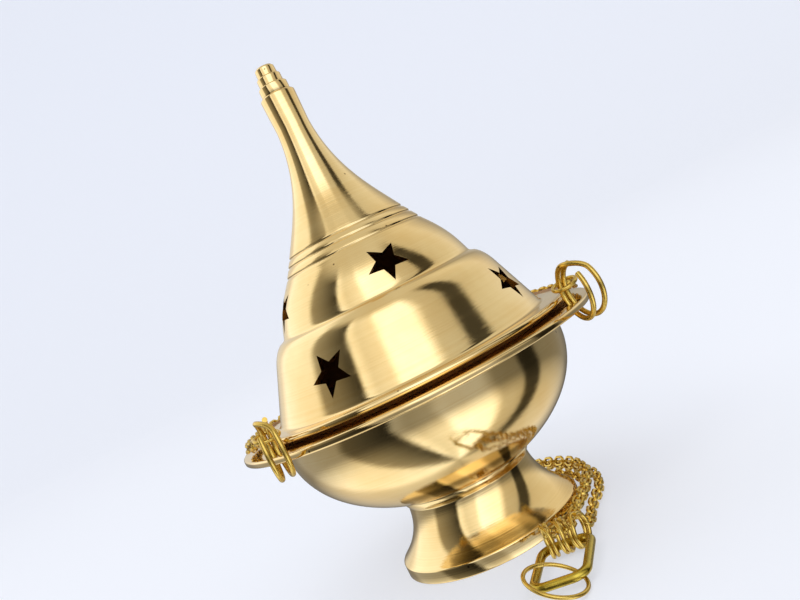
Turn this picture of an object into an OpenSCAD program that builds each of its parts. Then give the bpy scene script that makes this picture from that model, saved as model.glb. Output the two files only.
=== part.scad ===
// A small hanging censer in turned brass: a footed bowl, a tall pierced lid that lifts off, three
// chains on split rings in the bowl's rim, and the oval ring that the chains hang from.
// The origin is the centre of the foot's underside, +Z is up, and -Y is the front.

/* [Bowl] */
// Radius of the bowl's out-turned rim
rim_r = 46.5; // [46:0.1:48]
// Height of the rim's top face above the table
rim_z = 45; // [44:0.5:48]
// Thickness of the rim
rim_t = 1.6; // [1.4:0.1:2]
// Largest radius of the bowl's body
bowl_r = 37; // [36.5:0.1:37.5]
// Wall thickness of the bowl
bowl_wall = 1.3; // [1.1:0.1:1.6]
// Distance from the axis to each ring hole in the rim
hole_place_r = 44; // [43.9:0.05:44.1]
// Radius of each ring hole
hole_r = 1.9; // [1.85:0.05:1.95]

/* [Foot] */
// Radius of the foot at the table
foot_r = 23.5; // [22:0.5:26]
// Height of the upright band round the foot's edge
foot_band = 3.6; // [2.5:0.1:4.5]
// Radius of the foot's waist
waist_r = 16.3; // [16:0.1:17]
// Wall thickness of the foot
foot_wall = 2; // [1.6:0.1:2.4]

/* [Lid] */
// Radius of the lid's flange
lid_r = 41.7; // [40.5:0.1:41.8]
// Wall thickness of the lid, measured across
lid_wall = 1.4; // [1.2:0.1:1.6]
// Clear gap between the lid's seat and the bowl
seat_gap = 0.3; // [0.2:0.05:0.4]
// Radius to the points of an upper star
upper_star_r = 5.2; // [4:0.05:5.5]
// Radius to the points of a lower star
lower_star_r = 5.6; // [4:0.05:5.8]

/* [Rings and chains] */
// Radius of a rim split ring, to the middle of its wire
ring_r = 6.4; // [6.35:0.05:6.45]
// Wire diameter of a rim split ring
ring_wire = 1.2; // [1.1:0.05:1.2]
// Outer diameter of the chain
chain_d = 3.2; // [2.8:0.1:3.2]
// Radius of a top split ring, to the middle of its wire
top_ring_r = 3.4; // [3.35:0.05:3.45]
// Wire diameter of the oval hanging ring
hanger_wire = 1.9; // [1.7:0.1:1.9]

/* [Hidden] */
$fn = 96;

brass = "goldenrod";
old_brass = "darkgoldenrod";

// Bowl: an ellipse of revolution under the rim
bowl_mid_z = rim_z - 5;
bowl_depth = 25.5;
mouth_r = bowl_r - bowl_wall - 0.1;
seat_z = rim_z + 1 - seat_gap;
bowl_steps = 20;

// Foot
collar_r = 17.4;
collar_z = 17.9;
waist_z = 15.4;
web_t = 2.2;
screw_r = 2;
screw_clearance = 0.18;

// Lid: heights are above the table
flange_z = rim_z + 1;
flange_t = 1.2;
lip_r = mouth_r - 0.5;
lip_wall = 0.9;
lip_drop = 3.4;
tier_z = rim_z + 20.6;
tier_r = 26.7;
groove_depth = 0.35;
neck_bore_r = 3;
neck_r = 4.3;
neck_top_z = rim_z + 75.8;
tip_z = rim_z + 83.2;

// Stars: upper ring of four and lower ring of four, each with its height, radius, wall slope and reach
star_inner = 0.45;
upper_star = [rim_z + 27, 22.6, 29, upper_star_r];
lower_star = [rim_z + 10.6, 31.8, 23, lower_star_r];
upper_star_bearings = [-76.5, 13.5, 103.5, 197];
lower_star_bearings = [-121, -27, 59, 149];
upper_star_spins = [-6, -6, 5, -3];
lower_star_spins = [-8, -9, 6, -4];

// Rim rings: left, right and back. Each has its hole's bearing, its turn from straight out, its lift
// and the side on which its chain leaves
left = 0;
right = 1;
back = 2;
hole_bearing = [-142, -29, 91];
ring_turn = [63, -44, 20];
ring_lift = [2.8, 3.4, 0];
chain_side = [-1, 1, -1];
ring_splay = 1;
coil_gap = 0.1;
seam_half = 32;

// End links round the rim rings, each with its distance from the axis and its rise above the rim
link_r = 2.8;
link_wire = 0.9;
link_tilt = 15;
link_place_r = [44.2, 44.2, 45.05];
link_rise = [4.4, 4.6, 1.4];

// Top rings and the oval hanging ring, laid on the table by the foot
top_at = [12.5, -35.5];
top_turn = -20;
bar_z = 2.4;
bar_half = 2.6;
corner_r = 3;
hanger_length = 19;
top_ring_wire = 0.9;
top_ring_step = 3.3;
top_ring_fan = 15;
top_ring_out = 0.6;
carry_r = 6.1;
carry_wire = 0.85;
carry_lean = 60;

// Chains: points of each one's middle line, from its rim ring to its top ring
left_route = [
    [-37.2, -24.3, 49], [-39.5, -20.2, 48.2], [-41.6, -15, 47.3], [-43.1, -8.6, 46.8],
    [-43.9, -1, 46.7], [-43.2, 8.4, 46.7], [-40.2, 18, 46.7], [-35.8, 25.7, 46.7],
    [-29.8, 32.5, 46.7], [-23, 37.8, 46.7], [-17.2, 42.2, 46.8], [-14.2, 46.3, 45.5],
    [-13.2, 47.4, 41], [-12.8, 47.6, 33], [-12.6, 47.6, 22], [-12.6, 47.4, 11],
    [-12.8, 46, 4.2], [-13.6, 42.6, 1.8], [-15.6, 37, 1.7], [-17.2, 31, 1.7],
    [-15.4, 26.4, 1.7], [-11, 23.6, 1.7], [-5, 24.9, 1.7], [1.5, 25.5, 1.7], [8, 24.3, 1.7],
    [14, 21.4, 1.7], [19.4, 16.6, 1.7], [23.2, 10.4, 1.7], [25.3, 3, 1.7], [25.2, -4.4, 1.7],
    [22.8, -11.4, 1.7], [18.7, -17.5, 1.7], [14.6, -22.3, 1.7], [11, -26.2, 2.2],
    [9.8, -29.4, 3.2]
];
right_route = [
    [40.5, -18.2, 49.2], [42.2, -12.8, 48.2], [43.6, -6, 47.2], [43.9, 1.4, 46.8],
    [42.9, 9.6, 46.7], [39.8, 18.8, 46.7], [34.9, 26.9, 46.7], [28.4, 33.8, 46.7],
    [21.8, 38.6, 46.7], [17.4, 42.2, 46.8], [14.6, 46.2, 45.5], [13.6, 47.3, 41],
    [13.4, 47.5, 33], [13.4, 47.5, 22], [13.6, 47.2, 11], [14, 45.8, 4.2], [14.8, 42, 1.8],
    [16.6, 36.4, 1.7], [19.4, 30.4, 1.7], [22, 24, 1.7], [24.8, 17.2, 1.7], [27.3, 9.6, 1.7],
    [28.7, 2, 1.7], [28.4, -5.6, 1.7], [26.6, -12, 1.7], [23.8, -17.6, 1.7],
    [21.6, -22.8, 1.7], [20.2, -27.8, 2.2], [18.7, -32.3, 3.2]
];
back_route = [
    [3.4, 44.4, 47.6], [5.4, 45.6, 46.9], [6.4, 47.8, 45.4], [6.6, 48.9, 41], [6.4, 49, 33],
    [6.2, 49, 22], [5.8, 48.8, 11], [4.6, 47.4, 4.2], [2.6, 43.8, 1.8], [-1.6, 40.4, 1.7],
    [-6.4, 37.4, 1.7], [-8.6, 33.4, 1.7], [-5.6, 30, 1.7], [0.4, 29.6, 1.7], [6.4, 30.6, 1.7],
    [11.4, 29.4, 1.8], [15.6, 25.8, 3], [19.2, 20.6, 4.3], [22.8, 14.4, 4.7], [25.7, 8.2, 4.7],
    [27, 1, 4.7], [26.6, -5.8, 4.7], [24.9, -11.4, 4.7], [22.6, -16.4, 4.6],
    [19.8, -20.9, 4.2], [17, -25.8, 3.2], [14.2, -30.8, 3.2]
];

// ---- Curves ----

function bezier(a, b, c, d, steps) = [
    for (i = [0:steps]) let (t = i / steps, s = 1 - t)
        s * s * s * a + 3 * s * s * t * b + 3 * s * t * t * c + t * t * t * d
];

// Points of the bowl's ellipse of revolution, from the equator down to the given radius
function bowl_curve(inset, down_to_r) = [
    for (i = [0:bowl_steps])
        let (r = bowl_r - inset, span = acos(down_to_r / r), a = span * i / bowl_steps)
            [r * cos(a), bowl_mid_z - (bowl_depth - inset) * sin(a)]
];

function reversed(list) = [for (i = [len(list) - 1:-1:0]) list[i]];

function unit(v) = v / norm(v);

// A point on the smooth curve between b and c, with a before them and d after them
function between(a, b, c, d, t) =
    0.5 * (2 * b + (c - a) * t + (2 * a - 5 * b + 4 * c - d) * t * t + (3 * b - a - 3 * c + d) * t * t * t);

function smooth(route, steps) = let (last = len(route) - 1) [
    for (i = [0:last - 1], k = [0:steps - 1])
        between(route[max(i - 1, 0)], route[i], route[i + 1], route[min(i + 2, last)], k / steps),
    route[last]
];

function heading(path, i) = unit(path[min(i + 1, len(path) - 1)] - path[max(i - 1, 0)]);

// The sideways direction at each point of a path, carried along it without twist
function sideways(path) = let (last = len(path) - 1) [
    for (
        i = 0, s = unit(cross(heading(path, 0), [0.3, 0.2, 1]));
        i <= last;
        i = i + 1,
        h = heading(path, min(i, last)),
        s = unit(s - h * (s * h))
    ) s
];

// A round closed tube along a path
module tube(path, r, sides = 8) {
    across = sideways(path);
    last = len(path) - 1;
    points = [
        for (i = [0:last])
            let (h = heading(path, i), up = cross(h, across[i]))
                for (k = [0:sides - 1])
                    path[i] + r * (cos(360 * k / sides) * across[i] + sin(360 * k / sides) * up)
    ];
    faces = [
        for (i = [0:last - 1], k = [0:sides - 1])
            let (n = (k + 1) % sides)
                [i * sides + k, (i + 1) * sides + k, (i + 1) * sides + n, i * sides + n],
        [for (k = [0:sides - 1]) k],
        [for (k = [sides - 1:-1:0]) last * sides + k]
    ];
    polyhedron(points, faces);
}

// Two turns of wire in the XY plane, apart by splay on the side away from -X, with the step from one
// turn to the other at the given bearing
function coil(r, wire, splay, seam, steps) = [
    for (i = [0:steps])
        let (
            turn = seam_half + (720 - 2 * seam_half) * i / steps,
            apart = (wire + coil_gap) / 2 + splay * (1 + cos(turn + seam)) / 4,
            cross_over = max(-1, min(1, (turn - 360) / seam_half))
        )
            [r * cos(turn + seam), r * sin(turn + seam), apart * sin(90 * cross_over)]
];

// ---- Bowl and foot ----

module bowl() {
    fillet = 1.2;
    color(brass)
    difference() {
        rotate_extrude()
            polygon(concat(
                [[0, bowl_mid_z - bowl_depth]],
                reversed(bowl_curve(0, 2)),
                [
                    [bowl_r, rim_z - rim_t - fillet],
                    [bowl_r + fillet, rim_z - rim_t],
                    [rim_r - 0.3, rim_z - rim_t],
                    [rim_r, rim_z - rim_t + 0.3],
                    [rim_r, rim_z - 0.3],
                    [rim_r - 0.3, rim_z],
                    [bowl_r + fillet, rim_z],
                    [bowl_r + 0.7, seat_z],
                    [mouth_r + 0.3, seat_z],
                    [mouth_r, seat_z - 0.3],
                    [mouth_r, bowl_mid_z]
                ],
                bowl_curve(bowl_wall, 2),
                [[0, bowl_mid_z - bowl_depth + bowl_wall]]
            ));
        for (bearing = hole_bearing)
            rotate(bearing)
                translate([hole_place_r, 0, rim_z - 5])
                    cylinder(r = hole_r, h = 10);
        cylinder(r = screw_r + 0.1, h = rim_z);
    }
}

module foot() {
    web_z = bowl_mid_z - bowl_depth - web_t;
    color(brass)
    difference() {
        rotate_extrude()
            polygon(concat(
                [[0, web_z], [waist_r - foot_wall - 2, web_z]],
                bezier(
                    [waist_r - foot_wall, web_z - 1.4], [waist_r - foot_wall + 0.4, 8.4],
                    [waist_r - foot_wall + 2, 6.2], [foot_r - foot_wall - 0.2, foot_band - 1], 10
                ),
                [
                    [foot_r - foot_wall, 0],
                    [foot_r - 0.3, 0],
                    [foot_r, 0.3],
                    [foot_r, foot_band - 0.4],
                    [foot_r - 0.5, foot_band]
                ],
                bezier(
                    [foot_r - 0.9, foot_band + 0.3], [waist_r + 2.6, foot_band + 3.2],
                    [waist_r + 0.3, waist_z - 5], [waist_r, waist_z], 14
                ),
                [
                    [waist_r + 0.5, waist_z + 0.7],
                    [collar_r - 0.2, collar_z - 0.9],
                    [collar_r, collar_z - 0.4]
                ],
                [for (p = bowl_curve(0, 2)) if (p.x < collar_r - 0.1) p],
                [[0, bowl_mid_z - bowl_depth]]
            ));
        cylinder(r = screw_r + 0.1, h = rim_z);
    }
}

module foot_screw() {
    head_z = bowl_mid_z - bowl_depth + bowl_wall + screw_clearance;
    head_r = 3.8;
    head_h = 2;
    shank_z = bowl_mid_z - bowl_depth - web_t - 5.2;
    color(old_brass) {
        difference() {
            rotate_extrude()
                polygon(concat(
                    [[0, shank_z], [screw_r - 0.4, shank_z], [screw_r, shank_z + 0.4], [screw_r, head_z]],
                    [for (a = [0:15:90]) [head_r * cos(a), head_z + 0.05 + head_h * sin(a)]]
                ));
            translate([-head_r, -0.5, head_z + head_h - 0.8])
                cube([2 * head_r, 1, head_h]);
        }
    }
}

module foot_washer() {
    washer_t = 0.8;
    color(old_brass)
    translate([0, 0, bowl_mid_z - bowl_depth - web_t - washer_t])
        difference() {
            cylinder(r = 4.6, h = washer_t);
            translate([0, 0, -1])
                cylinder(r = screw_r + 0.15, h = washer_t + 2);
        }
}

module foot_nut() {
    nut_t = 3.2;
    color(old_brass)
    translate([0, 0, bowl_mid_z - bowl_depth - web_t - 0.8 - nut_t])
        difference() {
            cylinder(r = 4.05, h = nut_t, $fn = 6);
            translate([0, 0, -1])
                cylinder(r = screw_r + 0.05, h = nut_t + 2);
        }
}

// ---- Lid ----

// A small groove in a sloping outline, as three points
function groove(r, z) = [
    [r + 0.25, z - 0.45],
    [r - groove_depth, z],
    [r - 0.25, z + 0.45]
];

// The lid's outside from the flange's root to the top of the neck
function lid_outside() = concat(
    [[35.9, flange_z + flange_t], [35.2, flange_z + flange_t + 0.7], [30.2, rim_z + 15]],
    bezier([30.2, rim_z + 15], [29.5, rim_z + 16.7], [28.6, rim_z + 18.9], [tier_r, tier_z - 0.3], 6),
    [[tier_r - 1.2, tier_z + 0.2]],
    bezier(
        [tier_r - 1.5, tier_z + 0.6], [tier_r - 2.6, tier_z + 3.6],
        [tier_r - 3.6, tier_z + 7], [18.6, rim_z + 33], 10
    ),
    groove(18.1, rim_z + 33.8),
    groove(16.7, rim_z + 36),
    groove(15.5, rim_z + 37.9),
    bezier([14.9, rim_z + 38.9], [10.6, rim_z + 46], [4.9, rim_z + 54], [neck_r, rim_z + 67], 14),
    [[neck_r + 0.2, neck_top_z - 0.4], [neck_r - 0.2, neck_top_z]]
);

// The lid's inside follows its outside, less the wall, and never closer in than the neck's bore
function lid_inside() = [
    for (p = lid_outside())
        if (p.y > flange_z + 2 && p.y < neck_top_z - 14)
            [max(p.x - lid_wall, neck_bore_r), p.y - 0.3]
];

module star_cut(place, bearing, spin) {
    rotate(bearing)
        translate([place[1], 0, place[0]])
            rotate([0, 90 - place[2], 0])
                rotate(spin)
                    linear_extrude(8, center = true)
                        polygon([
                            for (k = [0:9])
                                place[3] * (k % 2 == 0 ? 1 : star_inner) * [cos(36 * k), sin(36 * k)]
                        ]);
}

module lid() {
    bead_r = 0.75;
    inside_foot_r = 34;
    color(brass)
    difference() {
        rotate_extrude()
            polygon(concat(
                [
                    [inside_foot_r - 0.5, flange_z],
                    [lip_r - lip_wall, flange_z - 0.6],
                    [lip_r - lip_wall, flange_z - lip_drop],
                    [lip_r, flange_z - lip_drop],
                    [lip_r, flange_z],
                    [lid_r - bead_r, flange_z]
                ],
                [for (a = [-60:30:150]) [lid_r - bead_r + bead_r * cos(a), flange_z + bead_r * (1 + sin(a))]],
                [[lid_r - 3, flange_z + flange_t - 0.2]],
                lid_outside(),
                [[neck_bore_r, neck_top_z], [neck_bore_r, neck_top_z - 14]],
                reversed(lid_inside())
            ));
        for (k = [0:3]) {
            star_cut(upper_star, upper_star_bearings[k], upper_star_spins[k]);
            star_cut(lower_star, lower_star_bearings[k], lower_star_spins[k]);
        }
    }
}

module tip_plug() {
    shank = 10;
    color(brass)
    rotate_extrude()
        polygon([
            [0, neck_top_z - shank],
            [neck_bore_r - 0.3, neck_top_z - shank],
            [neck_bore_r, neck_top_z - shank + 0.4],
            [neck_bore_r, neck_top_z],
            [3.7, neck_top_z],
            [3.7, neck_top_z + 2.3],
            [3.4, neck_top_z + 2.6],
            [3.1, neck_top_z + 2.6],
            [3.1, neck_top_z + 4.6],
            [2.8, neck_top_z + 4.9],
            [2.6, neck_top_z + 4.9],
            [2.5, tip_z - 0.5],
            [2, tip_z],
            [0, tip_z]
        ]);
}

// ---- Rings and chains ----

// A split ring through hole k of the rim: its inner side passes down through the hole
module rim_ring(k) {
    mid_z = rim_z - rim_t / 2;
    reach = sqrt(ring_r * ring_r - ring_lift[k] * ring_lift[k]);
    color(old_brass)
    rotate(hole_bearing[k])
        translate([hole_place_r, 0, mid_z + ring_lift[k]])
            rotate(ring_turn[k])
                translate([reach, 0, 0])
                    rotate([90, 0, 0])
                        tube(coil(ring_r, ring_wire, 2 * ring_splay, 70, 56), ring_wire / 2);
}

module end_link(k) {
    color(old_brass)
    rotate(hole_bearing[k])
        translate([link_place_r[k], 0, rim_z + link_rise[k]])
            rotate([chain_side[k] * link_tilt, 0, 0])
                rotate_extrude()
                    translate([link_r, 0])
                        circle(r = link_wire / 2, $fn = 24);
}

module chain(route) {
    color(old_brass)
    tube(smooth(route, 2), chain_d / 2);
}

module at_top() {
    translate([top_at.x, top_at.y, 0])
        rotate(top_turn)
            children();
}

// A small split ring round the hanging ring's bar, with the chain's last link in its outer side
module top_ring(side) {
    color(old_brass)
    at_top()
        translate([side * top_ring_step, 0, 0])
            rotate(90 - side * top_ring_fan)
                translate([top_ring_out, 0, 0.1 + top_ring_r + top_ring_wire / 2])
                    rotate([90, 0, 0])
                        tube(coil(top_ring_r, top_ring_wire, 0, 120, 44), top_ring_wire / 2);
}

module wire_run(length) {
    rotate([0, 90, 0])
        cylinder(r = hanger_wire / 2, h = length, $fn = 32);
}

module hanging_ring() {
    side_run = hanger_length - hanger_wire - 2 * corner_r;
    half_w = bar_half + corner_r;
    far_y = -(hanger_length - hanger_wire);
    color(old_brass)
    at_top()
        translate([0, 0, bar_z])
            union() {
                for (y = [0, far_y])
                    translate([-bar_half, y, 0])
                        wire_run(2 * bar_half);
                for (x = [-half_w, half_w])
                    translate([x, -corner_r, 0])
                        rotate(-90)
                            wire_run(side_run);
                for (corner = [
                    [bar_half, -corner_r, 0],
                    [-bar_half, -corner_r, 90],
                    [-bar_half, far_y + corner_r, 180],
                    [bar_half, far_y + corner_r, 270]
                ])
                    translate([corner[0], corner[1], 0])
                        rotate(corner[2])
                            rotate_extrude(angle = 90)
                                translate([corner_r, 0])
                                    circle(r = hanger_wire / 2, $fn = 32);
            }
}

module carry_ring() {
    far_y = -(hanger_length - hanger_wire);
    color(old_brass)
    at_top()
        translate([0, far_y - 1.4, carry_r * cos(carry_lean) + carry_wire / 2 + 0.15])
            rotate([0, 90 - carry_lean, 0])
                rotate_extrude()
                    translate([carry_r, 0])
                        circle(r = carry_wire / 2, $fn = 24);
}

bowl();
foot();
foot_screw();
foot_washer();
foot_nut();
lid();
tip_plug();
rim_ring(left);  // left_rim_ring
rim_ring(right);  // right_rim_ring
rim_ring(back);  // back_rim_ring
end_link(left);  // left_end_link
end_link(right);  // right_end_link
end_link(back);  // back_end_link
chain(left_route);  // left_chain
chain(right_route);  // right_chain
chain(back_route);  // back_chain
top_ring(-1);  // left_top_ring
top_ring(0);  // back_top_ring
top_ring(1);  // right_top_ring
hanging_ring();
carry_ring();
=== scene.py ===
import math

import bmesh
import bpy
from mathutils import Matrix, Vector


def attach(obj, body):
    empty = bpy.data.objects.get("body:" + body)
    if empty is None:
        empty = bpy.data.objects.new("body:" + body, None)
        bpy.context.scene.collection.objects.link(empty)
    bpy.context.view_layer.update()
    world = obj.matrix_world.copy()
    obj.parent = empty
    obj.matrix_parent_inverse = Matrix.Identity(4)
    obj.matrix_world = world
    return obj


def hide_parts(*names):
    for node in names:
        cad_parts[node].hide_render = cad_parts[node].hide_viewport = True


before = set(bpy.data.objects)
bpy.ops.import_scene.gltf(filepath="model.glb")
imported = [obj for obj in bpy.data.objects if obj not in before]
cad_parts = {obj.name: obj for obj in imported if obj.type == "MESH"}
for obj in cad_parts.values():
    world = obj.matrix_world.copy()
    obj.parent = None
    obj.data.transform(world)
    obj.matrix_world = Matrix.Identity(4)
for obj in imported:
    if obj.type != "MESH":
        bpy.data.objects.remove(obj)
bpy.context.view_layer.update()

# A small hanging censer of turned brass: footed bowl, pierced lid, chains on split rings.
# Lengths in the dictionaries are in millimetres, angles in degrees.
mm = 0.001


# ---- Camera ----

cameraStand = {
    "lens": 38.25,  # on a 36 mm sensor
    "distance": 210.4,
    "height": 68.6,
    "yaw": 1.26,
    "pitch": -1.75,
    "roll": -26.44,  # the object leans to the left in the view
}


def placeCamera(stand):
    yaw, pitch, roll = (math.radians(stand[turn]) for turn in ("yaw", "pitch", "roll"))
    ahead = Vector((math.sin(yaw) * math.cos(pitch), math.cos(yaw) * math.cos(pitch), math.sin(pitch)))
    levelRight = ahead.cross(Vector((0, 0, 1))).normalized()
    levelUp = levelRight.cross(ahead)
    right = levelRight * math.cos(roll) + levelUp * math.sin(roll)
    up = levelUp * math.cos(roll) - levelRight * math.sin(roll)
    bpy.ops.object.camera_add(location=(0, -stand["distance"] * mm, stand["height"] * mm))
    camera = bpy.context.object
    camera.rotation_euler = Matrix((right, up, -ahead)).transposed().to_euler()
    camera.data.lens = stand["lens"]
    camera.data.clip_start = 0.005
    bpy.context.scene.camera = camera


bpy.ops.object.select_all(action="DESELECT")
placeCamera(cameraStand)
print("camera placed")


# ---- Making and shaping meshes ----

def chooseOnly(*pieces):
    bpy.ops.object.select_all(action="DESELECT")
    for piece in pieces:
        piece.select_set(True)
    bpy.context.view_layer.objects.active = pieces[0]


def applyModifier(piece, kind, **settings):
    modifier = piece.modifiers.new(kind, kind)
    for name, value in settings.items():
        setattr(modifier, name, value)
    chooseOnly(piece)
    bpy.ops.object.modifier_apply(modifier=modifier.name)


def drawLine(name, points, closed=False):
    bpy.ops.object.select_all(action="DESELECT")
    bpy.ops.mesh.primitive_plane_add(size=mm)
    piece = bpy.context.object
    piece.name = name
    piece.data.name = name
    bpy.ops.object.mode_set(mode="EDIT")
    bpy.ops.mesh.select_all(action="SELECT")
    bpy.ops.mesh.merge(type="CENTER")
    bpy.ops.transform.translate(value=Vector(points[0]) * mm)
    stops = list(points[1:]) + ([points[0]] if closed else [])
    here = Vector(points[0])
    for stop in stops:
        step = (Vector(stop) - here) * mm
        bpy.ops.mesh.extrude_vertices_move(TRANSFORM_OT_translate={"value": step})
        here = Vector(stop)
    bpy.ops.mesh.select_all(action="SELECT")
    bpy.ops.mesh.remove_doubles(threshold=0.001 * mm)
    bpy.ops.object.mode_set(mode="OBJECT")
    return piece


def curveThrough(a, b, c, d, steps):
    points = []
    for i in range(steps + 1):
        t = i / steps
        s = 1 - t
        weights = (s * s * s, 3 * s * s * t, 3 * s * t * t, t * t * t)
        points.append(tuple(sum(w * p[k] for w, p in zip(weights, (a, b, c, d))) for k in (0, 1)))
    return points


def turnOnLathe(name, outline, edgeRound, closed=True, steps=224):
    piece = drawLine(name, [(r, 0, z) for r, z in outline], closed)
    bpy.ops.object.mode_set(mode="EDIT")
    bpy.ops.mesh.select_all(action="SELECT")
    bpy.ops.mesh.spin(steps=steps, angle=math.tau, center=(0, 0, 0), axis=(0, 0, 1), use_auto_merge=True)
    bpy.ops.mesh.select_all(action="SELECT")
    bpy.ops.mesh.remove_doubles(threshold=0.002 * mm)
    bpy.ops.mesh.normals_make_consistent(inside=False)
    bpy.ops.object.mode_set(mode="OBJECT")
    applyModifier(
        piece, "BEVEL", width=edgeRound * mm, segments=2, limit_method="ANGLE",
        angle_limit=math.radians(24), use_clamp_overlap=True,
    )
    return piece


def cutAway(piece, cutters):
    chooseOnly(*cutters)
    if len(cutters) > 1:
        bpy.ops.object.join()
    cutter = cutters[0]
    applyModifier(piece, "BOOLEAN", operation="DIFFERENCE", object=cutter, solver="EXACT")
    bpy.data.objects.remove(cutter)


def bendWire(name, points, wire, place, closed=False, sides=5):
    piece = drawLine(name, points, closed)
    chooseOnly(piece)
    bpy.ops.object.convert(target="CURVE")
    piece.data.bevel_depth = wire / 2 * mm
    piece.data.bevel_resolution = sides
    piece.data.use_fill_caps = True
    bpy.ops.object.convert(target="MESH")
    settle(piece, place)
    bpy.ops.object.mode_set(mode="EDIT")
    bpy.ops.mesh.select_all(action="SELECT")
    bpy.ops.mesh.remove_doubles(threshold=0.002 * mm)
    bpy.ops.mesh.normals_make_consistent(inside=False)
    bpy.ops.object.mode_set(mode="OBJECT")
    return piece


def settle(piece, place):
    piece.matrix_world = place
    chooseOnly(piece)
    bpy.ops.object.transform_apply(location=True, rotation=True, scale=True)


def smoothShade(piece, degrees=32):
    chooseOnly(piece)
    bpy.ops.object.shade_smooth_by_angle(angle=math.radians(degrees))


def shift(x, y, z):
    return Matrix.Translation(Vector((x, y, z)) * mm)


def turn(degrees, axis="Z"):
    return Matrix.Rotation(math.radians(degrees), 4, axis)


# ---- Materials ----

def srgb(code):
    channels = [int(code[i:i + 2], 16) / 255 for i in (1, 3, 5)]
    return [c / 12.92 if c <= 0.04045 else ((c + 0.055) / 1.055) ** 2.4 for c in channels] + [1]


def addNode(tree, kind, settings=None, inputs=None):
    node = tree.nodes.new(kind)
    for name, value in (settings or {}).items():
        setattr(node, name, value)
    for name, value in (inputs or {}).items():
        if isinstance(value, bpy.types.NodeSocket):
            tree.links.new(value, node.inputs[name])
        else:
            node.inputs[name].default_value = value
    return node


def newMaterial(name):
    material = bpy.data.materials.new(name)
    material.use_nodes = True
    tree = material.node_tree
    tree.nodes.clear()
    output = addNode(tree, "ShaderNodeOutputMaterial")
    shader = addNode(tree, "ShaderNodeBsdfPrincipled")
    tree.links.new(shader.outputs["BSDF"], output.inputs["Surface"])
    shader.inputs["Metallic"].default_value = 1
    return material, tree, shader


def aroundAxis(tree):
    place = addNode(tree, "ShaderNodeTexCoord").outputs["Object"]
    flat = addNode(tree, "ShaderNodeVectorMath", {"operation": "MULTIPLY"}, {0: place, 1: (1, 1, 0)})
    radius = addNode(tree, "ShaderNodeVectorMath", {"operation": "LENGTH"}, {0: flat.outputs[0]})
    height = addNode(tree, "ShaderNodeSeparateXYZ", None, {0: place})
    profile = addNode(
        tree, "ShaderNodeCombineXYZ", None,
        {"X": radius.outputs["Value"], "Y": height.outputs["Z"]},
    )
    return place, profile.outputs[0]


polishedFinish = {
    "light": "#F3DCA4",
    "deep": "#E6C583",
    "roughness": 0.075,
    "lineWidth": 0.35,  # turning lines, drawn about three times as coarse as they are
    "cloudSize": 14,
    "pit": "#6B4E22",
    "pitEvery": 8,
    "pitSize": 0.35,
}


def makePolishedBrass(finish):
    # Lacquered brass, turned and buffed: a near mirror with faint lines round it from the tool
    material, tree, shader = newMaterial("polishedTurnedBrass")
    place, profile = aroundAxis(tree)
    lines = addNode(
        tree, "ShaderNodeTexNoise", {"noise_dimensions": "2D"},
        {"Vector": profile, "Scale": 1 / (finish["lineWidth"] * mm), "Detail": 3.0, "Roughness": 0.7},
    )
    bands = addNode(
        tree, "ShaderNodeTexNoise", {"noise_dimensions": "2D"},
        {"Vector": profile, "Scale": 0.12 / (finish["lineWidth"] * mm), "Detail": 2.0},
    )
    clouds = addNode(
        tree, "ShaderNodeTexNoise", None,
        {"Vector": place, "Scale": 1 / (finish["cloudSize"] * mm), "Detail": 3.0},
    )
    streaks = addNode(
        tree, "ShaderNodeMix", {"data_type": "FLOAT"},
        {0: 0.3, 2: clouds.outputs[0], 3: lines.outputs[0]},
    )
    spread = addNode(
        tree, "ShaderNodeMapRange", None,
        {"Value": streaks.outputs[0], "From Min": 0.3, "From Max": 0.7},
    )
    tone = addNode(
        tree, "ShaderNodeMix", {"data_type": "RGBA"},
        {0: spread.outputs[0], 6: srgb(finish["light"]), 7: srgb(finish["deep"])},
    )
    pits = addNode(
        tree, "ShaderNodeTexVoronoi", None,
        {"Vector": place, "Scale": 1 / (finish["pitEvery"] * mm)},
    )
    pitEdge = finish["pitSize"] / finish["pitEvery"]
    pitted = addNode(
        tree, "ShaderNodeMapRange", None,
        {"Value": pits.outputs["Distance"], "From Min": pitEdge / 2, "From Max": pitEdge},
    )
    spotted = addNode(
        tree, "ShaderNodeMix", {"data_type": "RGBA"},
        {0: pitted.outputs[0], 6: srgb(finish["pit"]), 7: tone.outputs[2]},
    )
    tree.links.new(spotted.outputs[2], shader.inputs["Base Color"])
    dull = addNode(
        tree, "ShaderNodeMapRange", None,
        {"Value": bands.outputs[0], "From Min": 0.3, "From Max": 0.7,
         "To Min": finish["roughness"] * 0.6, "To Max": finish["roughness"] * 1.5},
    )
    tree.links.new(dull.outputs[0], shader.inputs["Roughness"])
    bump = addNode(
        tree, "ShaderNodeBump", None,
        {"Strength": 0.6, "Distance": 0.02 * mm, "Height": lines.outputs[0]},
    )
    tree.links.new(bump.outputs[0], shader.inputs["Normal"])
    tangent = addNode(tree, "ShaderNodeTangent", {"direction_type": "RADIAL", "axis": "Z"})
    tree.links.new(tangent.outputs[0], shader.inputs["Tangent"])
    shader.inputs["Anisotropic"].default_value = 0.3
    return material


wireFinish = {
    "light": "#E9CC6C",
    "deep": "#BF9A42",
    "roughness": 0.28,
    "grain": 0.5,
}


castFinish = {"light": "#D6BE50", "deep": "#A38A2E", "roughness": 0.24, "grain": 0.9}
screwFinish = {"light": "#D8B460", "deep": "#A98438", "roughness": 0.3, "grain": 0.4}


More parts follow.
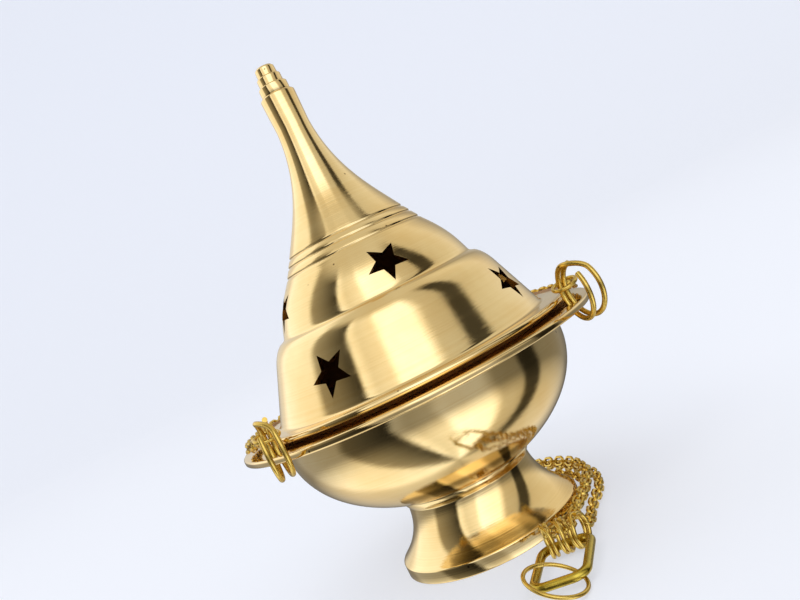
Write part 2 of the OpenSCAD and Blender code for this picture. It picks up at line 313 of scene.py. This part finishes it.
def makeWireBrass(name, finish):
    # Drawn brass wire: yellower than the turned parts, satin, a little tarnished in its hollows
    material, tree, shader = newMaterial(name)
    place = addNode(tree, "ShaderNodeTexCoord").outputs["Object"]
    mottle = addNode(
        tree, "ShaderNodeTexNoise", None,
        {"Vector": place, "Scale": 1 / (finish["grain"] * 3 * mm), "Detail": 4.0, "Roughness": 0.6},
    )
    fine = addNode(
        tree, "ShaderNodeTexNoise", None,
        {"Vector": place, "Scale": 1 / (finish["grain"] * mm), "Detail": 4.0},
    )
    tone = addNode(
        tree, "ShaderNodeMix", {"data_type": "RGBA"},
        {0: mottle.outputs[0], 6: srgb(finish["light"]), 7: srgb(finish["deep"])},
    )
    tree.links.new(tone.outputs[2], shader.inputs["Base Color"])
    dull = addNode(
        tree, "ShaderNodeMapRange", None,
        {"Value": fine.outputs[0], "From Min": 0.3, "From Max": 0.7,
         "To Min": finish["roughness"] * 0.75, "To Max": finish["roughness"] * 1.3},
    )
    tree.links.new(dull.outputs[0], shader.inputs["Roughness"])
    bump = addNode(
        tree, "ShaderNodeBump", None,
        {"Strength": 0.25, "Distance": 0.03 * mm, "Height": fine.outputs[0]},
    )
    tree.links.new(bump.outputs[0], shader.inputs["Normal"])
    return material


sootAndShadeFinish = {"light": "#C08A48", "deep": "#5A3C1E", "roughness": 0.42, "patch": 6}


def makeSootAndShadeBrass(finish):
    # Unpolished brass inside the bowl and lid, browned by heat and smoke; the same dark brown is also
    # painted shade in the narrow gap where the lid flange lies over the bowl's rim
    material, tree, shader = newMaterial("sootAndShadeBrass")
    place, profile = aroundAxis(tree)
    patches = addNode(
        tree, "ShaderNodeTexNoise", None,
        {"Vector": place, "Scale": 1 / (finish["patch"] * mm), "Detail": 5.0, "Roughness": 0.65},
    )
    rings = addNode(
        tree, "ShaderNodeTexNoise", {"noise_dimensions": "2D"},
        {"Vector": profile, "Scale": 1 / (0.6 * mm), "Detail": 2.0},
    )
    tone = addNode(
        tree, "ShaderNodeMix", {"data_type": "RGBA"},
        {0: patches.outputs[0], 6: srgb(finish["light"]), 7: srgb(finish["deep"])},
    )
    tree.links.new(tone.outputs[2], shader.inputs["Base Color"])
    shader.inputs["Roughness"].default_value = finish["roughness"]
    shader.inputs["Metallic"].default_value = 0.6
    bump = addNode(
        tree, "ShaderNodeBump", None,
        {"Strength": 0.4, "Distance": 0.06 * mm, "Height": rings.outputs[0]},
    )
    tree.links.new(bump.outputs[0], shader.inputs["Normal"])
    return material


polishedBrass = makePolishedBrass(polishedFinish)
wireBrass = makeWireBrass("drawnBrassWire", wireFinish)
castBrass = makeWireBrass("castBrass", castFinish)
screwBrass = makeWireBrass("machinedScrewBrass", screwFinish)
sootAndShadeBrass = makeSootAndShadeBrass(sootAndShadeFinish)
print("materials made")


def finishPiece(piece, body, nodes, materials, sootAndShadeFaces=None):
    for material in materials:
        piece.data.materials.append(material)
    # Faces that the mask picks take the second material: soot, and painted shade in the gap under the
    # lid flange
    if sootAndShadeFaces:
        for face in piece.data.polygons:
            centre = face.center / mm
            face.material_index = 1 if sootAndShadeFaces(centre, face.normal) else 0
    smoothShade(piece)
    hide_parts(*nodes)
    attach(piece, body)


# ---- Chains ----

chains = {
    "link": {"length": 4.0, "width": 2.9, "wire": 0.8, "pitch": 2.35},
    "diameter": 3.2,
    "left": [
        (-37.2, -24.3, 49), (-39.5, -20.2, 48.2), (-41.6, -15, 47.3), (-43.1, -8.6, 46.8),
        (-43.9, -1, 46.7), (-43.2, 8.4, 46.7), (-40.2, 18, 46.7), (-35.8, 25.7, 46.7),
        (-29.8, 32.5, 46.7), (-23, 37.8, 46.7), (-17.2, 42.2, 46.8), (-14.2, 46.3, 45.5),
        (-13.2, 47.4, 41), (-12.8, 47.6, 33), (-12.6, 47.6, 22), (-12.6, 47.4, 11),
        (-12.8, 46, 4.2), (-13.6, 42.6, 1.8), (-15.6, 37, 1.7), (-17.2, 31, 1.7),
        (-15.4, 26.4, 1.7), (-11, 23.6, 1.7), (-5, 24.9, 1.7), (1.5, 25.5, 1.7),
        (8, 24.3, 1.7), (14, 21.4, 1.7), (19.4, 16.6, 1.7), (23.2, 10.4, 1.7), (25.3, 3, 1.7),
        (25.2, -4.4, 1.7), (22.8, -11.4, 1.7), (18.7, -17.5, 1.7), (14.6, -22.3, 1.7),
        (11, -26.2, 2.2), (9.8, -29.4, 3.2),
    ],
    "right": [
        (40.5, -18.2, 49.2), (42.2, -12.8, 48.2), (43.6, -6, 47.2), (43.9, 1.4, 46.8),
        (42.9, 9.6, 46.7), (39.8, 18.8, 46.7), (34.9, 26.9, 46.7), (28.4, 33.8, 46.7),
        (21.8, 38.6, 46.7), (17.4, 42.2, 46.8), (14.6, 46.2, 45.5), (13.6, 47.3, 41),
        (13.4, 47.5, 33), (13.4, 47.5, 22), (13.6, 47.2, 11), (14, 45.8, 4.2), (14.8, 42, 1.8),
        (16.6, 36.4, 1.7), (19.4, 30.4, 1.7), (22, 24, 1.7), (24.8, 17.2, 1.7),
        (27.3, 9.6, 1.7), (28.7, 2, 1.7), (28.4, -5.6, 1.7), (26.6, -12, 1.7),
        (23.8, -17.6, 1.7), (21.6, -22.8, 1.7), (20.2, -27.8, 2.2), (18.7, -32.3, 3.2),
    ],
    "back": [
        (3.4, 44.4, 47.6), (5.4, 45.6, 46.9), (6.4, 47.8, 45.4), (6.6, 48.9, 41),
        (6.4, 49, 33), (6.2, 49, 22), (5.8, 48.8, 11), (4.6, 47.4, 4.2), (2.6, 43.8, 1.8),
        (-1.6, 40.4, 1.7), (-6.4, 37.4, 1.7), (-8.6, 33.4, 1.7), (-5.6, 30, 1.7),
        (0.4, 29.6, 1.7), (6.4, 30.6, 1.7), (11.4, 29.4, 1.8), (15.6, 25.8, 3),
        (19.2, 20.6, 4.3), (22.8, 14.4, 4.7), (25.7, 8.2, 4.7), (27, 1, 4.7),
        (26.6, -5.8, 4.7), (24.9, -11.4, 4.7), (22.6, -16.4, 4.6), (19.8, -20.9, 4.2),
        (17, -25.8, 3.2), (14.2, -30.8, 3.2),
    ],
}


def smoothRoute(route, steps):
    knots = [Vector(p) for p in route]
    last = len(knots) - 1
    path = []
    for i in range(last):
        a, b, c, d = knots[max(i - 1, 0)], knots[i], knots[i + 1], knots[min(i + 2, last)]
        for k in range(steps):
            t = k / steps
            bend = 2 * a - 5 * b + 4 * c - d
            path.append(0.5 * (2 * b + (c - a) * t + bend * t * t + (3 * b - a - 3 * c + d) * t * t * t))
    return path + [knots[last]]


def stopsAlong(path, pitch):
    # Points a link apart along the path, with the way that the path goes there
    reach = [0]
    for a, b in zip(path, path[1:]):
        reach.append(reach[-1] + (b - a).length)
    count = round(reach[-1] / pitch)
    stops = []
    i = 0
    for n in range(count + 1):
        along = reach[-1] * n / count
        while i < len(path) - 2 and reach[i + 1] < along:
            i += 1
        share = (along - reach[i]) / (reach[i + 1] - reach[i])
        ahead = (path[min(i + 2, len(path) - 1)] - path[max(i - 1, 0)]).normalized()
        stops.append((path[i].lerp(path[i + 1], share), ahead))
    return stops, reach[-1]


def bendLink(link):
    bpy.ops.object.select_all(action="DESELECT")
    bpy.ops.mesh.primitive_torus_add(
        major_segments=10, minor_segments=6,
        major_radius=(link["width"] - link["wire"]) / 2 * mm, minor_radius=link["wire"] / 2 * mm,
    )
    piece = bpy.context.object
    bpy.ops.object.mode_set(mode="EDIT")
    shape = bmesh.from_edit_mesh(piece.data)
    for side in (-1, 1):
        for corner in shape.verts:
            corner.select = corner.co.x * side > 0
        shape.select_flush_mode()
        bmesh.update_edit_mesh(piece.data)
        bpy.ops.transform.translate(value=(side * (link["length"] - link["width"]) / 2 * mm, 0, 0))
    bpy.ops.object.mode_set(mode="OBJECT")
    return piece


def layChain(name, route, link, node):
    path = smoothRoute(route, 6)
    stops, length = stopsAlong(path, link["pitch"])
    first = bendLink(link)
    across = stops[0][1].cross(Vector((0.3, 0.2, 1))).normalized()
    copies = []
    for n, (spot, ahead) in enumerate(stops):
        across = (across - ahead * across.dot(ahead)).normalized()
        up = ahead.cross(across)
        axes = Matrix((ahead, across, up)).transposed().to_4x4()
        copy = first.copy()
        copy.data = first.data.copy()
        bpy.context.scene.collection.objects.link(copy)
        copy.matrix_world = shift(*spot) @ axes @ turn(45 if n % 2 else -45, "X")
        copies.append(copy)
    bpy.data.objects.remove(first)
    chooseOnly(*copies)
    bpy.ops.object.join()
    chain = copies[0]
    chain.name = name
    chain.data.name = name
    bpy.ops.object.transform_apply(location=True, rotation=True, scale=True)
    finishPiece(chain, "stand", [node], [wireBrass])
    return chain, [p * mm for p in path], length * mm


for side in ("left", "right", "back"):
    layChain(side + "Chain", chains[side], chains["link"], side + "_chain")


# ---- Split rings, end links and hanging ring ----

rimRings = {
    "radius": 6.4,
    "wire": 1.2,
    "splay": 2,
    "seam": 70,
    "holeAt": 44,
    "midHeight": 44.2,
    "left": {"bearing": -142, "turn": 63, "lift": 2.8},
    "right": {"bearing": -29, "turn": -44, "lift": 3.4},
    "back": {"bearing": 91, "turn": 20, "lift": 0},
}
endLinks = {
    "radius": 2.8,
    "wire": 0.9,
    "tilt": 15,
    "placeAt": {"left": 44.2, "right": 44.2, "back": 45.05},
    "height": {"left": 49.4, "right": 49.6, "back": 46.4},
    "side": {"left": -1, "right": 1, "back": -1},
    "seam": 5,
}
coilShape = {"crossing": 32, "gap": 0.1}
topParts = {
    "at": (12.5, -35.5),
    "turn": -20,
    "ringRadius": 3.4,
    "ringWire": 0.9,
    "ringStep": 3.3,
    "ringFan": 15,
    "ringOut": 0.6,
    "ringSeam": 120,
    "barHeight": 2.4,
    "barHalf": 2.6,
    "corner": 3,
    "wire": 1.9,
    "length": 19,
    "carryRadius": 6.1,
    "carryWire": 0.85,
    "carryLean": 60,
}


def coil(radius, wire, splay, seam, steps=120):
    # Two turns side by side; the wire crosses from one to the other at the seam
    half = coilShape["crossing"]
    points = []
    for i in range(steps + 1):
        angle = half + (720 - 2 * half) * i / steps
        apart = (wire + coilShape["gap"]) / 2 + splay * (1 + math.cos(math.radians(angle + seam))) / 4
        crossing = max(-1, min(1, (angle - 360) / half))
        around = math.radians(angle + seam)
        points.append((
            radius * math.cos(around), radius * math.sin(around),
            apart * math.sin(math.radians(90 * crossing)),
        ))
    return points


def openRing(radius, seam, start=0, steps=48):
    # One turn of wire whose two ends nearly meet
    points = []
    for i in range(steps + 1):
        around = math.radians(start + seam / 2 + (360 - seam) * i / steps)
        points.append((radius * math.cos(around), radius * math.sin(around), 0))
    return points


def makeRimRing(side):
    ring = rimRings[side]
    reach = math.sqrt(rimRings["radius"] ** 2 - ring["lift"] ** 2)
    place = (
        turn(ring["bearing"]) @ shift(rimRings["holeAt"], 0, rimRings["midHeight"] + ring["lift"])
        @ turn(ring["turn"]) @ shift(reach, 0, 0) @ turn(90, "X")
    )
    points = coil(rimRings["radius"], rimRings["wire"], rimRings["splay"], rimRings["seam"])
    piece = bendWire(side + "RimRing", points, rimRings["wire"], place)
    finishPiece(piece, side + "_ring", [side + "_rim_ring"], [wireBrass])
    return piece


def makeEndLink(side):
    link = endLinks
    place = (
        turn(rimRings[side]["bearing"]) @ shift(link["placeAt"][side], 0, link["height"][side])
        @ turn(link["side"][side] * link["tilt"], "X")
    )
    start = 90 * link["side"][side]
    points = openRing(link["radius"], link["seam"], start)
    piece = bendWire(side + "EndLink", points, link["wire"], place)
    finishPiece(piece, "stand", [side + "_end_link"], [wireBrass])
    return piece


def atTop():
    return shift(*topParts["at"], 0) @ turn(topParts["turn"])


def makeTopRing(side, step):
    top = topParts
    place = (
        atTop() @ shift(step * top["ringStep"], 0, 0) @ turn(90 - step * top["ringFan"])
        @ shift(top["ringOut"], 0, 0.1 + top["ringRadius"] + top["ringWire"] / 2) @ turn(90, "X")
    )
    points = coil(top["ringRadius"], top["ringWire"], 0, top["ringSeam"], 88)
    piece = bendWire(side + "TopRing", points, top["ringWire"], place)
    finishPiece(piece, "stand", [side + "_top_ring"], [wireBrass])
    return piece


def makeHangingRing(top):
    far = -(top["length"] - top["wire"])
    half = top["barHalf"]
    bend = top["corner"]
    corners = ((half, -bend, 90), (half, far + bend, 0), (-half, far + bend, -90), (-half, -bend, -180))
    points = []
    for x, y, start in corners:
        for k in range(13):
            around = math.radians(start - 90 * k / 12)
            out, along = top["corner"] * math.cos(around), top["corner"] * math.sin(around)
            points.append((x + out, y + along, 0))
    place = atTop() @ shift(0, 0, top["barHeight"])
    piece = bendWire("hangingRing", points, top["wire"], place, closed=True, sides=7)
    finishPiece(piece, "hanger", ["hanging_ring"], [castBrass])
    return piece


def makeCarryRing(top):
    far = -(top["length"] - top["wire"])
    lean = math.radians(top["carryLean"])
    height = top["carryRadius"] * math.cos(lean) + top["carryWire"] / 2 + 0.15
    place = atTop() @ shift(0, far - 1.4, height) @ turn(90 - top["carryLean"], "Y")
    piece = bendWire("carryRing", openRing(top["carryRadius"], 2, 120, 72), top["carryWire"], place)
    finishPiece(piece, "hanger", ["carry_ring"], [wireBrass])
    return piece


for side, step in (("left", -1), ("back", 0), ("right", 1)):
    makeRimRing(side)
    endLink = makeEndLink(side)
    topRing = makeTopRing(side, step)
makeHangingRing(topParts)
makeCarryRing(topParts)
print("rings and links bent")


# ---- Bowl ----

bowlShape = {
    "rimRadius": 46.5,
    "rimHeight": 45,
    "rimThick": 1.6,
    "bodyRadius": 37,
    "midHeight": 40,
    "depth": 25.5,
    "wall": 1.3,
    "seatHeight": 45.7,
    "mouthRadius": 35.6,
    "holeRadius": 1.9,
    "screwHole": 2.1,
}


def bowlCurve(inset, downTo, steps=44):
    radius = bowlShape["bodyRadius"] - inset
    span = math.acos(downTo / radius)
    points = []
    for i in range(steps + 1):
        a = span * i / steps
        height = bowlShape["midHeight"] - (bowlShape["depth"] - inset) * math.sin(a)
        points.append((radius * math.cos(a), height))
    return points


def makeBowl(shape):
    rim = shape["rimHeight"]
    under = rim - shape["rimThick"]
    body = shape["bodyRadius"]
    outline = list(reversed(bowlCurve(0, shape["screwHole"])))
    outline += curveThrough(
        (body, under - 1.2), (body, under - 0.5), (body + 0.5, under), (body + 1.2, under), 5,
    )
    outline += [
        (shape["rimRadius"] - 0.3, under), (shape["rimRadius"], under + 0.3),
        (shape["rimRadius"], rim - 0.3), (shape["rimRadius"] - 0.3, rim),
        (body + 1.2, rim), (body + 0.7, shape["seatHeight"]),
        (shape["mouthRadius"] + 0.3, shape["seatHeight"]),
        (shape["mouthRadius"], shape["seatHeight"] - 0.3),
        (shape["mouthRadius"], shape["midHeight"] + 0.4),
    ]
    outline += bowlCurve(shape["wall"], shape["screwHole"])
    piece = turnOnLathe("bowl", outline, 0.15)
    drills = []
    for side in ("left", "right", "back"):
        bpy.ops.mesh.primitive_cylinder_add(vertices=40, radius=shape["holeRadius"] * mm, depth=8 * mm)
        drill = bpy.context.object
        drill.matrix_world = turn(rimRings[side]["bearing"]) @ shift(rimRings["holeAt"], 0, rim)
        drills.append(drill)
    cutAway(piece, drills)

    def inside(centre, normal):
        away = centre.x * normal.x + centre.y * normal.y
        # The rim's top under the lid flange is darkened as painted shade in the gap; the inner wall and
        # floor are soot
        gapShadeLedge = normal.z > 0.5 and rim - 0.5 < centre.z and math.hypot(centre.x, centre.y) < 41.4
        return gapShadeLedge or (centre.z < rim - 2 and (away < 0 or normal.z > 0.7))

    finishPiece(piece, "stand", ["bowl"], [polishedBrass, sootAndShadeBrass], inside)


makeBowl(bowlShape)
print("bowl turned")


# ---- Foot ----

footShape = {
    "radius": 23.5,
    "band": 3.6,
    "waistRadius": 16.3,
    "waistHeight": 15.4,
    "collarRadius": 17.4,
    "collarHeight": 17.9,
    "wall": 2,
    "web": 2.2,
}


def makeFoot(shape):
    web = bowlShape["midHeight"] - bowlShape["depth"] - shape["web"]
    inner = shape["waistRadius"] - shape["wall"]
    edge, band = shape["radius"], shape["band"]
    waist, waistZ = shape["waistRadius"], shape["waistHeight"]
    outline = [(bowlShape["screwHole"], web), (inner - 2, web)]
    outline += curveThrough(
        (inner, web - 1.4), (inner + 0.4, 8.4), (inner + 2, 6.2), (edge - 2.2, band - 1), 16,
    )
    outline += [
        (edge - shape["wall"], 0), (edge - 0.3, 0), (edge, 0.3),
        (edge, band - 0.4), (edge - 0.5, band),
    ]
    outline += curveThrough(
        (edge - 0.9, band + 0.3), (waist + 2.6, band + 3.2),
        (waist + 0.3, waistZ - 5), (waist, waistZ), 30,
    )
    outline += [
        (waist + 0.5, waistZ + 0.7), (shape["collarRadius"] - 0.2, shape["collarHeight"] - 0.9),
        (shape["collarRadius"], shape["collarHeight"] - 0.4),
    ]
    seat = bowlCurve(-0.02, bowlShape["screwHole"])
    outline += [point for point in seat if point[0] < shape["collarRadius"] - 0.1]
    piece = turnOnLathe("foot", outline, 0.15)

    # The inside of the hollow foot takes the same dark brown brass
    def inside(centre, normal):
        away = centre.x * normal.x + centre.y * normal.y
        return away < 0 and centre.z > 0.2

    finishPiece(piece, "stand", ["foot"], [polishedBrass, sootAndShadeBrass], inside)


makeFoot(footShape)
print("foot turned")


# ---- Lid ----

lidShape = {
    "flangeRadius": 41.7,
    "flangeHeight": 46,
    "flangeThick": 1.2,
    "bead": 0.75,
    "wall": 1.4,
    "lipRadius": 35.1,
    "lipWall": 0.9,
    "lipDrop": 3.4,
    "tierRadius": 26.7,
    "tierHeight": 65.6,
    "neckRadius": 4.3,
    "neckBore": 3,
    "neckTop": 120.8,
    "groove": 0.35,
    "starInner": 0.45,
    "upperStars": {
        "height": 72, "radius": 22.6, "slope": 29, "reach": 5.2,
        "bearings": (-76.5, 13.5, 103.5, 197), "spins": (-6, -6, 5, -3),
    },
    "lowerStars": {
        "height": 55.6, "radius": 31.8, "slope": 23, "reach": 5.6,
        "bearings": (-121, -27, 59, 149), "spins": (-8, -9, 6, -4),
    },
}


def lidGroove(r, z):
    return [
        (r + 0.25, z - 0.45), (r + 0.02, z - 0.3), (r - lidShape["groove"], z),
        (r - 0.18, z + 0.3), (r - 0.25, z + 0.45),
    ]


def lidOutside(shape):
    top = shape["flangeHeight"] + shape["flangeThick"]
    tierR, tierZ = shape["tierRadius"], shape["tierHeight"]
    line = [(35.9, top), (35.5, top + 0.25), (35.2, top + 0.7), (30.2, 60)]
    line += curveThrough((30.2, 60), (29.5, 61.7), (28.6, 63.9), (tierR, tierZ - 0.3), 12)[1:]
    line += [(tierR - 1.2, tierZ + 0.2)]
    line += curveThrough(
        (tierR - 1.5, tierZ + 0.6), (tierR - 2.6, tierZ + 3.6), (tierR - 3.6, tierZ + 7), (18.6, 78), 20,
    )
    line += lidGroove(18.1, 78.8) + lidGroove(16.7, 81) + lidGroove(15.5, 82.9)
    line += curveThrough((14.9, 83.9), (10.6, 91), (4.9, 99), (shape["neckRadius"], 112), 32)
    neck, neckTop = shape["neckRadius"], shape["neckTop"]
    line += [(neck + 0.2, neckTop - 0.4), (neck - 0.2, neckTop)]
    return line


def cutStars(ring):
    stars = []
    for bearing, spin in zip(ring["bearings"], ring["spins"]):
        bpy.ops.object.select_all(action="DESELECT")
        bpy.ops.mesh.primitive_circle_add(vertices=10, radius=ring["reach"] * mm, fill_type="NGON")
        star = bpy.context.object
        bpy.ops.object.mode_set(mode="EDIT")
        shape = bmesh.from_edit_mesh(star.data)
        shape.verts.ensure_lookup_table()
        for corner in shape.verts:
            corner.select = corner.index % 2 == 1
        shape.select_flush_mode()
        bmesh.update_edit_mesh(star.data)
        inner = lidShape["starInner"]
        bpy.ops.transform.resize(value=(inner, inner, inner), center_override=(0, 0, 0))
        bpy.ops.mesh.select_all(action="SELECT")
        bpy.ops.transform.translate(value=(0, 0, -4 * mm))
        bpy.ops.mesh.extrude_region_move(TRANSFORM_OT_translate={"value": (0, 0, 8 * mm)})
        bpy.ops.mesh.select_all(action="SELECT")
        bpy.ops.mesh.normals_make_consistent(inside=False)
        bpy.ops.object.mode_set(mode="OBJECT")
        star.matrix_world = (
            turn(bearing) @ shift(ring["radius"], 0, ring["height"])
            @ turn(90 - ring["slope"], "Y") @ turn(spin - 90)
        )
        stars.append(star)
    return stars


def makeLid(shape):
    flange = shape["flangeHeight"]
    lip = shape["lipRadius"]
    lipInner = lip - shape["lipWall"]
    bead = shape["bead"]
    beadMiddle = shape["flangeRadius"] - bead
    outside = lidOutside(shape)
    inside = [
        (max(r - shape["wall"], shape["neckBore"]), z - 0.3)
        for r, z in outside if flange + 2 < z < shape["neckTop"] - 14
    ]
    outline = [
        (33.5, flange), (lipInner, flange - 0.6), (lipInner, flange - shape["lipDrop"]),
        (lip, flange - shape["lipDrop"]), (lip, flange), (beadMiddle, flange),
    ]
    for k in range(15):
        a = math.radians(-75 + 225 * k / 14)
        outline.append((beadMiddle + bead * math.cos(a), flange + bead * (1 + math.sin(a))))
    outline += [(shape["flangeRadius"] - 2, flange + shape["flangeThick"] - 0.08)]
    outline += [(shape["flangeRadius"] - 3.2, flange + shape["flangeThick"])]
    outline += outside
    outline += [(shape["neckBore"], shape["neckTop"]), (shape["neckBore"], shape["neckTop"] - 14)]
    outline += list(reversed(inside))
    piece = turnOnLathe("lid", outline, 0.12)
    cutAway(piece, cutStars(shape["upperStars"]) + cutStars(shape["lowerStars"]))

    # Soot on the inner wall of the lid; the flange's underside, over the bowl's rim, is darkened as
    # painted shade in the gap
    def sootAndShadeFaces(centre, normal):
        away = centre.x * normal.x + centre.y * normal.y
        side = centre.x * normal.y - centre.y * normal.x
        wall = away < -0.3 * abs(side) - 0.5 and centre.z < shape["neckTop"] - 13
        return wall or (normal.z < -0.5 and centre.z < flange + 0.3)

    finishPiece(piece, "cover", ["lid"], [polishedBrass, sootAndShadeBrass], sootAndShadeFaces)


def makeTipPlug(shape):
    top = shape["neckTop"]
    bore = shape["neckBore"]
    outline = [
        (0, top - 10), (bore - 0.3, top - 10), (bore, top - 9.6), (bore, top),
        (3.7, top), (3.7, top + 2.3), (3.4, top + 2.6),
        (3.1, top + 2.6), (3.1, top + 4.6), (2.8, top + 4.9),
        (2.6, top + 4.9), (2.5, top + 6.9), (2, top + 7.4), (0, top + 7.4),
    ]
    piece = turnOnLathe("tipPlug", outline, 0.1, closed=False, steps=96)
    finishPiece(piece, "cover", ["tip_plug"], [polishedBrass])


makeLid(lidShape)
makeTipPlug(lidShape)
print("lid turned and pierced")


# ---- Screw, washer and nut keep their CAD shapes ----

for node in ("foot_screw", "foot_washer", "foot_nut"):
    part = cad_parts[node]
    part.data.materials.clear()
    part.data.materials.append(screwBrass)


# ---- Floor, backdrop and light ----

studio = {
    "floorHalf": 3,
    "sweepFrom": 1.4,
    "paper": "#A3A6AC",
    "glow": "#E9EDF7",
    "glowStrength": 0.57,
}


def makeSweep(stage):
    # Seamless paper: a floor that curves up into a wall far behind
    half, start = stage["floorHalf"], stage["sweepFrom"]
    radius = 1.2
    line = [(0, -half, 0), (0, start, 0)]
    for k in range(1, 17):
        a = math.radians(90 * k / 16)
        line.append((0, start + radius * math.sin(a), radius * (1 - math.cos(a))))
    line.append((0, start + radius, 4))
    piece = drawLine("paperSweep", [(-half / mm, y / mm, z / mm) for x, y, z in line])
    bpy.ops.object.mode_set(mode="EDIT")
    bpy.ops.mesh.select_all(action="SELECT")
    bpy.ops.mesh.extrude_region_move(TRANSFORM_OT_translate={"value": (2 * half, 0, 0)})
    bpy.ops.object.mode_set(mode="OBJECT")
    smoothShade(piece, 60)
    material, tree, shader = newMaterial("paleStudioPaper")
    shader.inputs["Base Color"].default_value = srgb(stage["paper"])
    shader.inputs["Metallic"].default_value = 0
    shader.inputs["Roughness"].default_value = 0.8
    shader.inputs["Emission Color"].default_value = srgb(stage["glow"])
    shader.inputs["Emission Strength"].default_value = stage["glowStrength"]
    piece.data.materials.append(material)
    piece.visible_glossy = False  # the brass mirrors the room and not the paper


lights = [
    # name, place, size, power, colour
    ("keyBox", (-0.5, -0.5, 0.8), (0.4, 0.4), 1.6, "#FFFBF2"),
    ("fillBox", (0.8, -0.3, 0.6), (0.3, 0.6), 1.0, "#F8FAFF"),
    ("topBox", (0.1, 0.2, 1.2), (0.8, 0.6), 1.5, "#FFFFFF"),
]


def hangLight(name, spot, size, power, colour):
    bpy.ops.object.light_add(type="AREA", location=spot)
    light = bpy.context.object
    light.name = name
    light.data.shape = "RECTANGLE"
    light.data.size, light.data.size_y = size
    light.data.energy = power
    light.data.color = srgb(colour)[:3]
    light.rotation_euler = (Vector((0, 0, 0.06)) - Vector(spot)).to_track_quat("-Z", "Y").to_euler()
    light.visible_camera = False
    light.visible_glossy = False


room = {
    "walls": "#FFF5DE",
    "window": "#EBF0FF",
    "backdrop": "#E9EDF8",
    "slant": 0.05,
    "peak": 2.2,  # the brightness of a window; the values below are shares of it
    "ceiling": 0.36,
    "horizon": 0.3,  # furniture and floor edge keep the room dim low down
    "ground": 1.0,
    # how bright the room is at each bearing, from behind the object round by the left
    "bands": [
        (0.00, 0.3), (0.1, 0.45), (0.13, 0.7), (0.26, 0.6), (0.28, 0.18), (0.34, 0.09), (0.39, 0.02),
        (0.4, 0.7), (0.43, 0.5), (0.48, 0.6), (0.5, 1.0), (0.6, 0.9), (0.63, 0.35), (0.695, 0.3),
        (0.7, 0.03), (0.75, 0.03), (0.76, 0.35),
        (0.88, 0.45), (0.95, 0.2), (1.0, 0.3),
    ],
}


def lightRoom(look):
    # A pale room with darker stretches of wall, placed for the front view, which the brass
    # mirrors; the camera itself sees an even backdrop
    world = bpy.data.worlds.new("whiteRoom")
    bpy.context.scene.world = world
    world.use_nodes = True
    tree = world.node_tree
    background = tree.nodes["Background"]
    way = addNode(tree, "ShaderNodeTexCoord").outputs["Generated"]
    parts = addNode(tree, "ShaderNodeSeparateXYZ", None, {0: way})
    ahead = addNode(tree, "ShaderNodeMath", {"operation": "MULTIPLY"}, {0: parts.outputs["Y"], 1: -1})
    bearing = addNode(
        tree, "ShaderNodeMath", {"operation": "ARCTAN2"},
        {0: parts.outputs["X"], 1: ahead.outputs[0]},
    )
    share = addNode(
        tree, "ShaderNodeMapRange", None,
        {"Value": bearing.outputs[0], "From Min": -math.pi, "From Max": math.pi},
    )
    slanted = addNode(
        tree, "ShaderNodeMath", {"operation": "MULTIPLY_ADD"},
        {0: parts.outputs["Z"], 1: look["slant"], 2: share.outputs[0]},
    )
    ramp = addNode(tree, "ShaderNodeValToRGB", None, {0: slanted.outputs[0]})
    stops = ramp.color_ramp.elements
    while len(stops) < len(look["bands"]):
        stops.new(0.5)
    for stop, (place, level) in zip(stops, look["bands"]):
        stop.position = place
        stop.color = (level, level, level, 1)
    overhead = addNode(
        tree, "ShaderNodeMapRange", {"interpolation_type": "SMOOTHSTEP"},
        {"Value": parts.outputs["Z"], "From Min": 0.8, "From Max": 0.95},
    )
    level = addNode(
        tree, "ShaderNodeMix", {"data_type": "FLOAT"},
        {0: overhead.outputs[0], 2: ramp.outputs[0], 3: look["ceiling"]},
    )
    low = addNode(
        tree, "ShaderNodeMapRange", {"interpolation_type": "SMOOTHSTEP"},
        {"Value": parts.outputs["Z"], "From Min": -0.12, "From Max": 0.12, "To Min": look["horizon"]},
    )
    below = addNode(
        tree, "ShaderNodeMapRange", {"interpolation_type": "SMOOTHSTEP"},
        {"Value": parts.outputs["Z"], "From Min": -0.7, "From Max": -0.1,
         "To Min": look["ground"], "To Max": 0},
    )
    lowest = addNode(
        tree, "ShaderNodeMath", {"operation": "MAXIMUM"},
        {0: low.outputs[0], 1: below.outputs[0]},
    )
    dimmed = addNode(
        tree, "ShaderNodeMath", {"operation": "MULTIPLY"},
        {0: level.outputs[0], 1: lowest.outputs[0]},
    )
    bright = addNode(
        tree, "ShaderNodeMath", {"operation": "MULTIPLY"},
        {0: dimmed.outputs[0], 1: look["peak"]},
    )
    tint = addNode(
        tree, "ShaderNodeMix", {"data_type": "RGBA"},
        {0: level.outputs[0], 6: srgb(look["walls"]), 7: srgb(look["window"])},
    )
    toned = addNode(
        tree, "ShaderNodeVectorMath", {"operation": "SCALE"},
        {0: tint.outputs[2], "Scale": bright.outputs[0]},
    )
    plain = addNode(tree, "ShaderNodeLightPath").outputs["Is Camera Ray"]
    shown = addNode(
        tree, "ShaderNodeMix", {"data_type": "RGBA"},
        {0: plain, 6: toned.outputs[0], 7: srgb(look["backdrop"])},
    )
    tree.links.new(shown.outputs[2], background.inputs["Color"])


makeSweep(studio)
for light in lights:
    hangLight(*light)
lightRoom(room)
bpy.context.scene.view_settings.view_transform = "Standard"
print("studio lit")
